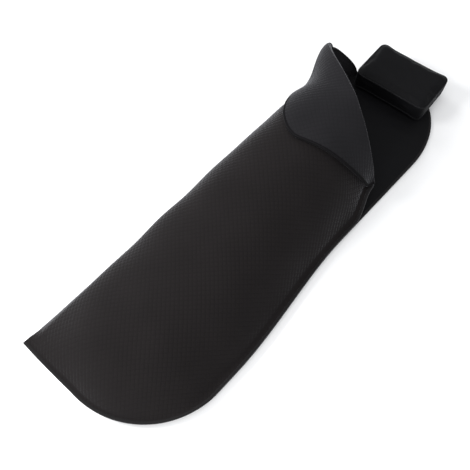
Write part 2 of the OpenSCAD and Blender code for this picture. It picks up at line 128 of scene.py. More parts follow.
def foot_edge(x):
    """Foot edge at x: a slight slant, then the big round corner."""
    d = np.clip(x - SLANT_X, 0, FOOT_R)
    slant = FOOT_SLANT * np.clip(x / SLANT_X, 0, 1) ** 1.5
    return slant + (FOOT_R - FOOT_SLANT) * (1 - np.sqrt(1 - (d / FOOT_R) ** 2))


def head_end(u):
    """Where the cover ends toward the head: its head edge up to the peak, then the flap's crease."""
    crease = mix(CREASE_OPEN_Y, CREASE_PEAK_Y, np.clip((1 - u) / (1 - PEAK_U), 0, 1) ** CREASE_BEND)
    return np.where(u < PEAK_U, mix(FOLD_END_Y, CREASE_PEAK_Y, u / PEAK_U), crease)


def ridge(y, d):
    """Height of the cover's ridge at y, which is d from the foot edge."""
    r = np.clip((d - FOOT_RIM) / FOOT_RISE, 0, 1)
    return mix(RIDGE_FOOT, RIDGE_CHEST, smooth(y / CHEST_Y)) * (1 - (1 - r) ** 2) ** EASE


def section(t, y):
    """Share of the ridge's height at a share t of the width."""
    n = mix(ROUND_FOOT, ROUND_HIPS, smooth(y / HIPS_Y))
    rise = (1 - np.clip(1 - t / CREST, 0, 1) ** n) ** (1 / n)
    fall = (1 - np.clip((t - CREST) / (1 - CREST), 0, 1) ** FALL_ROUND) ** EASE
    return np.where(t < CREST, rise, fall)


def face_point(t, y):
    """The cover's outer face at a share t of its width."""
    lift = smooth((y - CLOSURE_L) / LIFT_L)
    x0 = HEAD_W / 2 - arch(y)
    x1 = open_edge(y) - BINDING - LIFT_IN * lift
    y0 = foot_edge(t * (FOOT_W - BINDING)) + BINDING
    rise = ridge(y, y - y0) * section(np.clip(t * (x1 - x0) / (x1 - x0 - SIDE_RIM), 0, 1), y)
    drop = FOLD_DROP * (1 - smooth(t / DROP_SHARE)) * smooth((y - y0 - FOOT_RIM) / DROP_L)
    h = rise + LIFT_UP * lift * t**3 - drop
    out = BULGE_OUT * smooth((y - BULGE_Y) / BULGE_L) * h * (1 - t) ** 1.5
    return np.stack([x0 + (x1 - x0) * t - out, y + 0 * t, COVER_BASE + h], -1)


# ---------------------------------------------------------------- grids over the cover
# The quilting squares are 15 mm on the bias, so their seams run along the diagonals of this grid
SQUARE = 15.0
CELLS = 6
STEP = SQUARE * math.sqrt(2) / CELLS
ROWS, COLS = 506, 206
row_y = np.arange(ROWS) * STEP
# The CAD part spaces its columns u unevenly over the share t of the width, closer at both sides
u_fine = np.linspace(0, 1, 2001)
t_fine = 0.375 * (1 - np.cos(np.pi * u_fine)) + 0.25 * u_fine
waves = np.random.default_rng(7)


def bilinear(table, k, i):
    """Values of a table at row k and column i, with their fractions."""
    k = np.clip(k, 0, table.shape[0] - 1.001)
    i = np.clip(i, 0, table.shape[1] - 1.001)
    k0, i0 = k.astype(int), i.astype(int)
    a, b = k - k0, i - i0
    if table.ndim == 3:
        a, b = a[..., None], b[..., None]
    low = mix(table[k0, i0], table[k0, i0 + 1], b)
    return mix(low, mix(table[k0 + 1, i0], table[k0 + 1, i0 + 1], b), a)


def blur(table, sigma, axis):
    """Gaussian blur along one axis, with the ends held."""
    reach = int(3 * sigma) + 1
    kernel = np.exp(-0.5 * (np.arange(-reach, reach + 1) / sigma) ** 2)
    kernel /= kernel.sum()
    pad = [(0, 0)] * table.ndim
    pad[axis] = (reach, reach)
    wide = np.pad(table, pad, mode="reflect", reflect_type="odd")
    length = table.shape[axis]
    return sum(w * np.take(wide, np.arange(n, n + length), axis) for n, w in enumerate(kernel))


def normals_of(grid):
    """Unit normals of a grid of points."""
    across = np.gradient(grid, axis=1)
    along = np.gradient(grid, axis=0)
    return unit(np.cross(across, along))


def ripple(a, b, count, low, high, rng):
    """Sum of soft waves with wavelengths from low to high, about 1 high."""
    total = 0
    for _ in range(count):
        length, turn, phase = rng.uniform(low, high), rng.uniform(0, np.pi), rng.uniform(0, 2 * np.pi)
        total = total + np.sin((a * np.cos(turn) + b * np.sin(turn)) * 2 * np.pi / length + phase)
    return total / math.sqrt(count)


def make_base():
    """Points of the cover's face, rows by y and columns of equal arc length, with each one's share t."""
    t = np.linspace(0, 1, 900) ** 1.5
    fine = face_point(t[None, :], row_y[:, None] + 0 * t[None, :])
    arc = np.concatenate(
        [np.zeros((ROWS, 1)), np.cumsum(np.linalg.norm(np.diff(fine, axis=1), axis=-1), 1)], 1)
    base, share = np.zeros((ROWS, COLS, 3)), np.zeros((ROWS, COLS))
    for k in range(ROWS):
        at = np.linspace(0, arc[k, -1], COLS)
        share[k] = np.interp(at, arc[k], t)
        for c in range(3):
            base[k, :, c] = np.interp(at, arc[k], fine[k, :, c])
    return base, share


base, share = make_base()
cols = np.arange(COLS)
open_half = smooth((cols / COLS - 0.5) / 0.2)[None, :, None]
base = mix(base, blur(base, 2.0, 1), open_half)
a_grid, b_grid = np.meshgrid(cols * STEP, row_y)
edge_in = np.minimum(cols, COLS - 1 - cols)[None, :] * STEP
face_n = normals_of(base)
UNDULATION, CALM_RIM = 1.9, 60
swell = ripple(a_grid, b_grid, 6, 170, 420, waves)
base = base + face_n * (UNDULATION * swell * smooth(edge_in / CALM_RIM))[..., None]


def column_at(t, y):
    """Column of the grid at a share t of the width, at distance y from the foot."""
    k = np.clip(y / STEP, 0, ROWS - 1.001)
    found = []
    for one_t, one_k in zip(np.atleast_1d(t), np.atleast_1d(k)):
        k0 = int(one_k)
        low = np.interp(one_t, share[k0], cols)
        high = np.interp(one_t, share[k0 + 1], cols)
        found.append(mix(low, high, one_k - k0))
    return np.array(found)


def first_row(values):
    """Row, with its fraction, at which each column of values turns positive."""
    found = np.zeros(COLS)
    for i in range(COLS):
        k = int(np.argmax(values[:, i] >= 0))
        if k:
            a, b = values[k - 1, i], values[k, i]
            found[i] = k - 1 + a / (a - b)
    return found


FOOT_ROW = first_row(row_y[:, None] - foot_edge(share * (FOOT_W - BINDING)) - BINDING)
HEAD_ROW = first_row(row_y[:, None] - head_end(np.interp(share, t_fine, u_fine)))
peak_col = float(column_at(np.interp(PEAK_U, u_fine, t_fine), CREASE_PEAK_Y)[0])
# The peak is a drawn-out corner at the head end of the fold side
PEAK_PULL, PEAK_REACH = np.array([-9.0, -4.0, 1.0]), 55
away = np.hypot((a_grid - peak_col * STEP), (b_grid - CREASE_PEAK_Y))
base = base + PEAK_PULL * np.exp(-((away / PEAK_REACH) ** 2))[..., None]
# The turned-back corner weighs the cover down beside the fold
PRESS_A, PRESS_B, REACH_A, REACH_B, PRESS_DEPTH = 140, 1435, 105, 110, 19
pressed = np.exp(-(((a_grid - PRESS_A) / REACH_A) ** 2) - ((b_grid - PRESS_B) / REACH_B) ** 2)
base = base - face_n * (PRESS_DEPTH * pressed)[..., None]
face_n = normals_of(base)
# The turned-back corner bridges the valley beside the cover's edge
over = mix(base, blur(blur(base, 7.0, 1), 3.0, 0), open_half)
over_n = unit(blur(blur(normals_of(over), 4.0, 1), 4.0, 0))


def seat(i, k, height, on_flap=False):
    """Point at a height over the cover's face, at column i and row k."""
    grid, normal = (over, over_n) if on_flap else (base, face_n)
    return bilinear(grid, k, i) + bilinear(normal, k, i) * np.asarray(height)[..., None]


def puff(i, k):
    """Quilting: 0 along the seams and 1 in the middle of each square."""
    p, q = np.mod(i + k, CELLS) / CELLS, np.mod(i - k, CELLS) / CELLS
    return (np.sin(np.pi * p) * np.sin(np.pi * q)) ** 0.55


# ---------------------------------------------------------------- meshes
JOIN = 2e-6  # m: points closer than this are one point


def world(points):
    """Points in mm from the fold and the foot edge, in the frame's metres."""
    return (np.asarray(points, float) + ORIGIN) * 0.001


def mesh_object(name, points, faces, uv=None):
    """Object from points in mm and faces, with coincident points joined and empty faces dropped."""
    points = world(np.asarray(points, float).reshape(-1, 3))
    keys = np.round(points / JOIN).astype(np.int64)
    _, first, index = np.unique(keys, axis=0, return_index=True, return_inverse=True)
    index = index.ravel()
    kept, corners = [], []
    for face in faces:
        ring, source = [], []
        for v in face:
            n = index[v]
            if n not in ring:
                ring.append(int(n))
                source.append(v)
        if len(ring) > 2:
            kept.append(ring)
            corners.extend(source)
    data = bpy.data.meshes.new(name)
    data.from_pydata(points[first].tolist(), [], kept)
    if uv is not None:
        layer = data.uv_layers.new(name="fabric")
        layer.data.foreach_set("uv", np.asarray(uv, np.float32).reshape(-1, 2)[corners].ravel())
    data.validate()
    data.update()
    data.shade_smooth()
    obj = bpy.data.objects.new(name, data)
    scene.collection.objects.link(obj)
    return obj


def quads(rows, cols, start=0, flip=False):
    """Faces over a grid of points, rows by cols."""
    k, i = np.meshgrid(np.arange(rows - 1), np.arange(cols - 1), indexing="ij")
    a = (start + k * cols + i).ravel()
    ring = [a, a + 1, a + cols + 1, a + cols]
    return np.stack(ring[::-1] if flip else ring, 1)


def closed_sheet(name, top, bottom, uv):
    """Closed sheet between two grids of points, which share one map."""
    rows, cols = top.shape[:2]
    n = rows * cols
    faces = [quads(rows, cols), quads(rows, cols, n, True)]
    rim = np.concatenate([
        np.arange(cols),
        np.arange(1, rows) * cols + cols - 1,
        (rows - 1) * cols + np.arange(cols - 2, -1, -1),
        np.arange(rows - 2, -1, -1) * cols])
    a, b = rim[:-1], rim[1:]
    faces.append(np.stack([b, a, a + n, b + n], 1))
    points = np.concatenate([top.reshape(-1, 3), bottom.reshape(-1, 3)])
    return mesh_object(name, points, np.concatenate(faces).tolist(), np.concatenate([uv, uv]))


def sheet_rows(low, high, columns):
    """Rows of a clipped grid: row k of each column is held between its low and high row."""
    k = np.arange(math.floor(low.min()), math.ceil(high.max()) + 1.0)[:, None]
    return np.clip(k, low[None, :], high[None, :]), columns[None, :] + 0 * k


def rim_fade(i, k, low, high, first, last, reach=9.0):
    """0 on the rim of a clipped grid and 1 further in than reach."""
    near = np.minimum(np.minimum(k - low, high - k), np.minimum(i - first, last - i)) * STEP
    return smooth(near / reach)


def split_materials(obj, top_faces):
    """Faces after the first top_faces take the second material."""
    for number, face in enumerate(obj.data.polygons):
        face.material_index = 0 if number < top_faces else 1


def kept_quads(rows, columns, points):
    """How many of a grid's faces stay after coincident points are joined."""
    keys = np.round(world(points.reshape(-1, 3)) / JOIN).astype(np.int64)
    _, index = np.unique(keys, axis=0, return_inverse=True)
    rings = index.ravel()[quads(rows, columns)]
    return int(sum(len(set(ring)) > 2 for ring in rings.tolist()))


def sweep(name, path, outward, normal, half_width, half_height, power=0.55, sides=20):
    """Tape along a path in mm, with a rounded section and flat ends."""
    angles = np.arange(sides) / sides * 2 * np.pi
    c, s = np.cos(angles), np.sin(angles)
    x = half_width * np.sign(c) * np.abs(c) ** power
    z = half_height * np.sign(s) * np.abs(s) ** power
    n = len(path)
    rings = path[:, None] + outward[:, None] * x[None, :, None] + normal[:, None] * z[None, :, None]
    faces = []
    for k in range(n - 1):
        for j in range(sides):
            a, b = k * sides + j, k * sides + (j + 1) % sides
            faces.append([a, b, b + sides, a + sides])
    faces.append(list(range(sides))[::-1])
    faces.append([(n - 1) * sides + j for j in range(sides)])
    length = np.concatenate([[0], np.cumsum(np.linalg.norm(np.diff(path, axis=0), axis=1))])
    uv = np.stack([np.repeat(length / SQUARE, sides), np.tile(np.arange(sides) / sides, n)], -1)
    obj = mesh_object(name, rings, faces, uv)
    fix_outside(obj)
    return obj


def fix_outside(obj):
    """Turns every face of a closed mesh outward."""
    work = bmesh.new()
    work.from_mesh(obj.data)
    bmesh.ops.recalc_face_normals(work, faces=work.faces)
    work.to_mesh(obj.data)
    work.free()


def resample(points, step, *others):
    """Points at equal steps along a line, with other values carried along."""
    length = np.concatenate([[0], np.cumsum(np.linalg.norm(np.diff(points, axis=0), axis=1))])
    at = np.linspace(0, length[-1], max(3, int(length[-1] / step) + 1))

    def one(values):
        """Values at the new points."""
        return np.stack([np.interp(at, length, values[:, c]) for c in range(values.shape[1])], 1)
    return [one(v) for v in (points, *others)]


def rim_frame(points, normal, toward):
    """Outward direction across a rim, away from the points toward."""
    along = unit(np.gradient(points, axis=0))
    outward = unit(np.cross(along, normal))
    side = np.sign(np.sum(outward * (points - toward), axis=1, keepdims=True))
    return outward * side


def paint(obj, *materials):
    """Gives a piece its materials, in order."""
    for material in materials:
        obj.data.materials.append(material)


# ---------------------------------------------------------------- materials
SHEEN_ROUGHNESS, SHEEN_TINT = 0.3, (0.86, 0.87, 0.92, 1)
# Cloth: darkest and lightest share of its colour, thread relief, its seams' depth, and the painted shade
# that darkens the seams
CLOTH_DARK, CLOTH_LIGHT, THREAD_RELIEF, SEAM_DEPTH, SEAM_PAINTED_SHADE = 0.62, 1.35, 0.12, 0.6, 0.3
# A tape's stitches: their row's place and inner and outer half width round its section, how many to
# 15 mm, the share of each that is gap, and how much lighter they are
STITCH_ROW, ROW_IN, ROW_OUT, STITCHES, STITCH_GAP, STITCH_LIGHT = 0.15, 0.006, 0.016, 5.0, 0.28, 0.5


def new_material(name, color, roughness, metallic=0.0, sheen=0.0, coat=0.0, specular=0.5):
    """Material with the values that are the same all over it; also gives its tree and shader."""
    material = bpy.data.materials.new(name)
    material.use_nodes = True
    shader = material.node_tree.nodes["Principled BSDF"]
    shader.inputs["Base Color"].default_value = (*color, 1)
    shader.inputs["Roughness"].default_value = roughness
    shader.inputs["Metallic"].default_value = metallic
    shader.inputs["Sheen Weight"].default_value = sheen
    shader.inputs["Sheen Roughness"].default_value = SHEEN_ROUGHNESS
    shader.inputs["Sheen Tint"].default_value = SHEEN_TINT
    shader.inputs["Coat Weight"].default_value = coat
    shader.inputs["Specular IOR Level"].default_value = specular
    return material, material.node_tree, shader


def add(tree, kind, links=None, **settings):
    """Node of a kind, with its settings, values and incoming links."""
    node = tree.nodes.new(kind)
    for key, value in settings.items():
        setattr(node, key, value)
    for key, value in (links or {}).items():
        if isinstance(value, bpy.types.NodeSocket):
            tree.links.new(value, node.inputs[key])
        else:
            node.inputs[key].default_value = value
    return node


def shades(tree, factor, low, high):
    """Colour between two colours by a factor."""
    node = add(tree, "ShaderNodeMix", {"Factor": factor}, data_type="RGBA")
    node.inputs["A"].default_value = (*low, 1)
    node.inputs["B"].default_value = (*high, 1)
    return node.outputs["Result"]


def fabric(name, color, roughness=0.8, sheen=0.35, quilted=True, weave=900.0, grain=0.25, specular=0.3,
           stitched=False):
    """Woven cloth: thread bump and cloudy colour, with quilted squares' seams, darkened by painted shade,
    or a tape's stitches.
    """
    material, tree, shader = new_material(name, color, roughness, sheen=sheen, specular=specular)

    def calc(operation, a, b=0.0):
        """Result of a maths operation on two values or sockets."""
        return add(tree, "ShaderNodeMath", {0: a, 1: b}, operation=operation).outputs[0]

    place = add(tree, "ShaderNodeTexCoord").outputs["Object"]
    cloud = add(tree, "ShaderNodeTexNoise", {"Vector": place, "Scale": 7.0, "Detail": 3.0})
    fibre = add(tree, "ShaderNodeTexNoise", {"Vector": place, "Scale": weave, "Detail": 2.0})
    turned = add(tree, "ShaderNodeMapping", {"Vector": place, "Rotation": (0, 0, math.pi / 4)}).outputs[0]
    warp, weft = [
        add(tree, "ShaderNodeTexWave", {"Vector": turned, "Scale": weave / 6, "Distortion": 0.6},
            bands_direction=direction).outputs["Fac"] for direction in "XY"]
    threads = calc("MAXIMUM", warp, weft)
    mixed = calc("ADD", calc("MULTIPLY", cloud.outputs["Fac"], 0.6),
                 calc("MULTIPLY", fibre.outputs["Fac"], 0.4))
    height = calc("MULTIPLY", threads, THREAD_RELIEF)
    if quilted or stitched:
        uv = add(tree, "ShaderNodeUVMap", uv_map="fabric").outputs[0]
        split = add(tree, "ShaderNodeSeparateXYZ", {0: uv})
        along, around = split.outputs["X"], split.outputs["Y"]
    if quilted:
        seams = []
        for operation in ("ADD", "SUBTRACT"):
            line = calc("FRACT", calc(operation, along, around))
            seams.append(calc("ABSOLUTE", calc("SUBTRACT", line, 0.5)))
        seam = calc("MAXIMUM", *seams)
        groove = add(tree, "ShaderNodeMapRange", {"Value": seam, "From Min": 0.40, "From Max": 0.49},
                     interpolation_type="SMOOTHSTEP").outputs[0]
        height = calc("SUBTRACT", height, calc("MULTIPLY", groove, SEAM_DEPTH))
        # Painted shade: the seams' grooves are also darkened in colour, besides being sunk
        mixed = calc("SUBTRACT", mixed, calc("MULTIPLY", groove, SEAM_PAINTED_SHADE))
    if stitched:
        side = calc("ABSOLUTE", calc("SUBTRACT", around, 0.5))
        off = calc("ABSOLUTE", calc("SUBTRACT", side, STITCH_ROW))
        row = add(tree, "ShaderNodeMapRange", {"Value": off, "From Min": ROW_OUT, "From Max": ROW_IN},
                  interpolation_type="SMOOTHSTEP").outputs[0]
        dash = calc("FRACT", calc("MULTIPLY", along, STITCHES))
        dash = calc("GREATER_THAN", dash, STITCH_GAP)
        stitch = calc("MULTIPLY", row, dash)
        height = calc("ADD", height, calc("SUBTRACT", stitch, row))
        mixed = calc("ADD", mixed, calc("MULTIPLY", stitch, STITCH_LIGHT))
    height = calc("ADD", height, calc("MULTIPLY", fibre.outputs["Fac"], grain))
    dark, light = [c * CLOTH_DARK for c in color], [c * CLOTH_LIGHT for c in color]
    tree.links.new(shades(tree, mixed, dark, light), shader.inputs["Base Color"])
    rough = add(tree, "ShaderNodeMapRange", {
        "Value": fibre.outputs["Fac"], "To Min": roughness - 0.1, "To Max": min(1.0, roughness + 0.1)})
    tree.links.new(rough.outputs[0], shader.inputs["Roughness"])
    bump = add(tree, "ShaderNodeBump", {"Height": height, "Strength": 0.6, "Distance": 0.0011})
    tree.links.new(bump.outputs[0], shader.inputs["Normal"])
    return material


def hard(name, color, roughness, metallic=0.0, scale=300.0, bump=0.00008, stretch=(1, 1, 1), coat=0.0):
    """Plastic or metal: fine grain in its colour, roughness and bump."""
    material, tree, shader = new_material(name, color, roughness, metallic, coat=coat)
    place = add(tree, "ShaderNodeTexCoord").outputs["Object"]
    along = add(tree, "ShaderNodeMapping", {"Vector": place, "Scale": stretch}).outputs[0]
    grain = add(tree, "ShaderNodeTexNoise", {"Vector": along, "Scale": scale, "Detail": 4.0}).outputs["Fac"]
    tree.links.new(shades(tree, grain, [c * 0.75 for c in color], [min(1, c * 1.2) for c in color]),
                   shader.inputs["Base Color"])
    rough = add(tree, "ShaderNodeMapRange", {
        "Value": grain, "To Min": max(0.05, roughness - 0.08), "To Max": min(1, roughness + 0.1)})
    tree.links.new(rough.outputs[0], shader.inputs["Roughness"])
    relief = add(tree, "ShaderNodeBump", {"Height": grain, "Strength": 0.5, "Distance": bump})
    tree.links.new(relief.outputs[0], shader.inputs["Normal"])
    return material


OUTER = fabric("outer_fabric", (0.0088, 0.0073, 0.0075), 0.82, 0.58, specular=0.10)
LINING = fabric("lining_fabric", (0.0038, 0.0038, 0.0045), 0.6, 0.05, quilted=False, weave=1300, grain=0.1,
                specular=0.08)
FLAP_LINING = fabric("flap_lining_fabric", (0.0112, 0.0107, 0.0122), 0.85, 0.42, weave=1300, specular=0.10)
TAPE = fabric("edge_binding", (0.0115, 0.0107, 0.0111), 0.75, 0.20, quilted=False, weave=700, grain=0.4,
              specular=0.10, stitched=True)
# Painted shade: the flap's binding is a darker, duller copy of the edge tape, standing in for the dark gap
# under the flap's free edge
FLAP_TAPE_PAINTED_SHADE = fabric("flap_edge_binding", (0.0055, 0.0052, 0.0058), 0.8, 0.05, quilted=False, weave=700,
                   grain=0.4, specular=0.05, stitched=True)
HOOK = fabric("closure_tape", (0.0070, 0.0070, 0.0075), 0.95, 0.25, quilted=False, weave=500, grain=1.2,
              specular=0.08)
THREAD = fabric("piping", (0.0090, 0.0090, 0.0100), 0.6, 0.16, quilted=False, weave=1500, grain=0.4,
                specular=0.08)
METAL = hard("bare_metal", (0.62, 0.62, 0.64), 0.35, 1.0, stretch=(1, 12, 1))
PAINTS = {
    "mat_heating_ribbon": fabric("carbon_ribbon", (0.02, 0.02, 0.02), 0.6, 0.0, False, 1200),
    "mat_thermal_cutouts": METAL,
    "mat_temperature_probe": hard("probe_film", (0.35, 0.18, 0.04), 0.3, coat=0.4),
    "mat_leads": hard("lead_wire", (0.4, 0.02, 0.015), 0.45),
    "closure_hook_tape": HOOK,
    "closure_loop_tape": HOOK,
    "inlet_housing": hard("black_plastic", (0.015, 0.015, 0.016), 0.5, scale=900),
    "inlet_insulator": hard("insulator", (0.25, 0.12, 0.05), 0.55, scale=500),
    "inlet_contacts": hard("contact_metal", (0.72, 0.55, 0.24), 0.25, 1.0),
    "inlet_clamp_plate": METAL,
    "inlet_screws": METAL,
    "pillow_zipper_teeth": hard("zipper_plastic", (0.03, 0.03, 0.03), 0.4, scale=700),
    "pillow_zipper_slider": hard("zipper_metal", (0.12, 0.12, 0.125), 0.35, 1.0),
    "pillow_zipper_pull": hard("zipper_pull_metal", (0.12, 0.12, 0.125), 0.3, 1.0, stretch=(1, 1, 8)),
}
for name, material in PAINTS.items():
    data = nodes[name].data
    data.materials.clear()
    data.materials.append(material)

# ---------------------------------------------------------------- cover
# Quilting: the height of its squares on each face, and the share of it that the seams lie below the face
QUILT, LINING_QUILT, SEAM_SHARE = 0.9, 0.7, 0.75
# Past the fold, the cover's side edge comes down on the mat: its gap, length, width and thickness there
REST_GAP, LOWER_L, LOWER_W, THIN, THIN_EDGE = 0.3, 60, 16, 1.2, 0.8
k_grid, i_grid = sheet_rows(FOOT_ROW, HEAD_ROW, cols.astype(float))
fade = rim_fade(i_grid, k_grid, FOOT_ROW[None, :], HEAD_ROW[None, :], -4, COLS - 1)
bulge = puff(i_grid, k_grid) * fade
cover_top = seat(i_grid, k_grid, QUILT * (bulge - SEAM_SHARE * fade))
cover_low = seat(i_grid, k_grid, -COVER_T - LINING_QUILT * (bulge - fade))
past_fold = smooth((k_grid * STEP - ARCH_Y + LOWER_L) / LOWER_L)
rest_z = mix(FOLD_FLOOR, MAT_T + REST_GAP, past_fold)
cover_low[..., 2] = np.maximum(cover_low[..., 2], rest_z)
cover_top[..., 2] = np.maximum(cover_top[..., 2], rest_z + THIN)
lowered = past_fold * (1 - smooth(i_grid * STEP / LOWER_W))
cover_low[..., 2] = mix(cover_low[..., 2], rest_z, lowered)
cover_top[..., 2] = mix(cover_top[..., 2], rest_z + THIN_EDGE, lowered)
fabric_uv = np.stack([i_grid / CELLS, k_grid / CELLS], -1)
cover = closed_sheet("cover_shell", cover_top, cover_low, fabric_uv)
paint(cover, OUTER, FLAP_LINING)
split_materials(cover, kept_quads(*k_grid.shape, cover_top))
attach(cover, "cover")
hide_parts("cover_outer_fabric", "cover_wadding", "cover_reflective_film", "cover_heater_felt",
            "cover_heating_ribbon", "cover_temperature_probe", "cover_lining")

# ---------------------------------------------------------------- turned-back flap
FLAP_GAP, UNDER_QUILT = 4.2, 0.5
# Its free edge, as (share u, distance from the foot): down the side, round the corner, along to the tip
SIDE, SIDE_PULL, CORNER_PULL = np.array([[0.09, 1450], [0.13, 1370], [0.25, 1150]])
CORNER, TIP = np.array([[0.41, 1145], [1.0, 1285]])
SIDE_END, CORNER_END, TIP_BEND = 0.22, 0.5, 1.2
# Between the corner and the tip the free edge stands up: how far, how far in from the edge, and where
# along it, as the shares of the width at which it begins and ends and the length of each slope
STAND_UP, STAND_IN, STAND_FROM, FROM_L, STAND_TO, TO_L = 11, 130, 0.42, 0.2, 0.84, 0.15


def free_edge(s):
    """Flap's free edge from the peak to the open side, as (share u, distance from the foot)."""
    if s < SIDE_END:
        return mix(np.array([PEAK_U, CREASE_PEAK_Y]), SIDE, s / SIDE_END)
    if s < CORNER_END:
        t = (s - SIDE_END) / (CORNER_END - SIDE_END)
        return ((1 - t) ** 3 * SIDE + 3 * t * (1 - t) ** 2 * SIDE_PULL
                + 3 * t * t * (1 - t) * CORNER_PULL + t**3 * CORNER)
    t = (s - CORNER_END) / (1 - CORNER_END)
    return np.array([mix(CORNER[0], TIP[0], t), mix(CORNER[1], TIP[1], t**TIP_BEND)])


edge = np.array([free_edge(s) for s in np.linspace(0, 1, 301)])
edge_i = column_at(np.interp(edge[:, 0], u_fine, t_fine), edge[:, 1])
edge_k = edge[:, 1] / STEP
left = int(np.argmin(edge_i))
first = math.ceil(edge_i[left])
flap_cols = np.arange(first, COLS).astype(float)
flap_low = np.interp(flap_cols, edge_i[left:], edge_k[left:])
flap_high = np.where(flap_cols < peak_col,
                     np.interp(flap_cols, edge_i[:left + 1][::-1], edge_k[:left + 1][::-1]),
                     HEAD_ROW[first:])
flap_high = np.maximum(flap_high, flap_low + 0.02)
k_flap, i_flap = sheet_rows(flap_low, flap_high, flap_cols)


def flap_gap(i, k):
    """Gap between the cover and the flap."""
    off_edge = (k - np.interp(i, flap_cols, flap_low)) * STEP
    across = smooth((i / COLS - STAND_FROM) / FROM_L) * (1 - smooth((i / COLS - STAND_TO) / TO_L))
    return FLAP_GAP + STAND_UP * across * (1 - smooth(off_edge / STAND_IN))


k_flap, i_flap = k_flap[::-1], i_flap[::-1]
fade = rim_fade(i_flap, k_flap, flap_low[None, :], flap_high[None, :], -9, COLS + 9)
bulge = puff(i_flap, k_flap) * fade
gap = flap_gap(i_flap, k_flap)
flap_top = seat(i_flap, k_flap, gap + COVER_T + LINING_QUILT * (bulge - fade), True)
flap_under = seat(i_flap, k_flap, gap - UNDER_QUILT * (bulge - fade), True)

# Fold: half a flattened tube from the cover's end round to the flap
FOLD_ROWS, FOLD_OUT, FOLD_IN, FOLD_UV = 10, 8.0, 1.0, 0.8
has_fold = flap_cols >= peak_col
outer_face = seat(flap_cols, flap_high, 0 * flap_high)
inner_face = seat(flap_cols, flap_high, -COVER_T + 0 * flap_high)
normal = bilinear(over_n, flap_high, flap_cols)
run = np.gradient(outer_face, axis=0)
out = unit(np.cross(normal, run))
out *= np.sign(out[:, 1:2])


def fold_arc(a, b, reach):
    """Rows of points round half an ellipse from a to b; columns with no fold stay on b."""
    rows = []
    for angle in np.linspace(-90, 90, FOLD_ROWS + 1)[:-1] * math.pi / 180:
        p = (a + b) / 2 + (b - a) / 2 * math.sin(angle) + out * reach * math.cos(angle)
        rows.append(np.where(has_fold[:, None], p, b))
    return np.array(rows)


fold_top = fold_arc(inner_face, flap_top[0], FOLD_OUT)
fold_under = fold_arc(outer_face, flap_under[0], FOLD_IN)
flap_mesh_top = np.concatenate([fold_top, flap_top])
flap_mesh_low = np.concatenate([fold_under, flap_under])
fold_k = flap_high[None, :] + np.arange(FOLD_ROWS, 0, -1)[:, None] * FOLD_UV
flap_uv = np.stack([np.concatenate([i_flap[:FOLD_ROWS], i_flap]),
                    np.concatenate([fold_k, k_flap])], -1) / CELLS
flap = closed_sheet("flap_shell", flap_mesh_low, flap_mesh_top, flap_uv)
paint(flap, OUTER, FLAP_LINING)
split_materials(flap, kept_quads(*flap_mesh_low.shape[:2], flap_mesh_low))

# Points along the crease, and the unit normal of the plane through its ends and middle, turned toward the
# head
crease = world(outer_face[has_fold])
crease_normal = np.cross(crease[len(crease) // 2] - crease[0], crease[-1] - crease[0])
crease_normal = crease_normal / np.linalg.norm(crease_normal)
crease_normal *= np.sign(crease_normal[1])
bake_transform(flap)
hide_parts("flap_outer_fabric", "flap_wadding", "flap_lining")

# ---------------------------------------------------------------- edge binding
# Tapes: half width, how far they stand proud of the cloth and past its edge, and their points' spacing
TAPE_IN, TAPE_PROUD, TAPE_OUT, TAPE_STEP = 5.2, 0.6, 1.5, 4.0
TAPE_H = COVER_T / 2 + TAPE_PROUD
# Cover: the foot edge, the round corner and the open side as far as the crease
foot_i = np.arange(0, COLS - 1, 1.0)
side_k = np.arange(FOOT_ROW[-1], HEAD_ROW[-1], 1.0)
rim_i = np.concatenate([foot_i, np.full(len(side_k), COLS - 1.0)])
rim_k = np.concatenate([np.interp(foot_i, cols, FOOT_ROW), side_k])
rim_p = seat(rim_i, rim_k, -COVER_T / 2 + 0 * rim_k)
rim_n = bilinear(face_n, rim_k, rim_i)
rim_p, rim_n = resample(rim_p, TAPE_STEP, rim_n)
rim_n = unit(blur(rim_n, 3, 0))
rim_p = blur(rim_p, 1.2, 0)
INSIDE_COVER = np.array([[280.0, 420.0, 30.0]])
rim_o = rim_frame(rim_p, rim_n, INSIDE_COVER)
rim_o[:, 2] *= 0.5  # keeps the tape's edge from following the cover's steep side down
cover_binding = sweep("cover_binding", rim_p - rim_o * TAPE_IN + rim_o * BINDING, unit(rim_o), rim_n,
                      TAPE_IN + TAPE_PROUD, TAPE_H)
paint(cover_binding, TAPE)
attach(cover_binding, "cover")
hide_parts("cover_edge_binding")

# Head edge of the cover, from the fold side to the peak
head_i = np.arange(0, peak_col, 1.0)
head_k = np.interp(head_i, cols, HEAD_ROW)
head_p = seat(head_i, head_k, -COVER_T / 2 + 0 * head_k)
head_n = bilinear(face_n, head_k, head_i)
head_p, head_n = resample(head_p, TAPE_STEP, head_n)
head_n = unit(blur(head_n, 2, 0))
head_o = rim_frame(head_p, head_n, head_p - np.array([[0, 60.0, 0]]))
head_p[:, 2] = np.maximum(head_p[:, 2], MAT_T + REST_GAP + TAPE_H)
head_binding = sweep("cover_head_binding", head_p - head_o * (TAPE_IN - TAPE_OUT), head_o, head_n,
                     TAPE_IN, TAPE_H)
paint(head_binding, TAPE)
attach(head_binding, "cover")

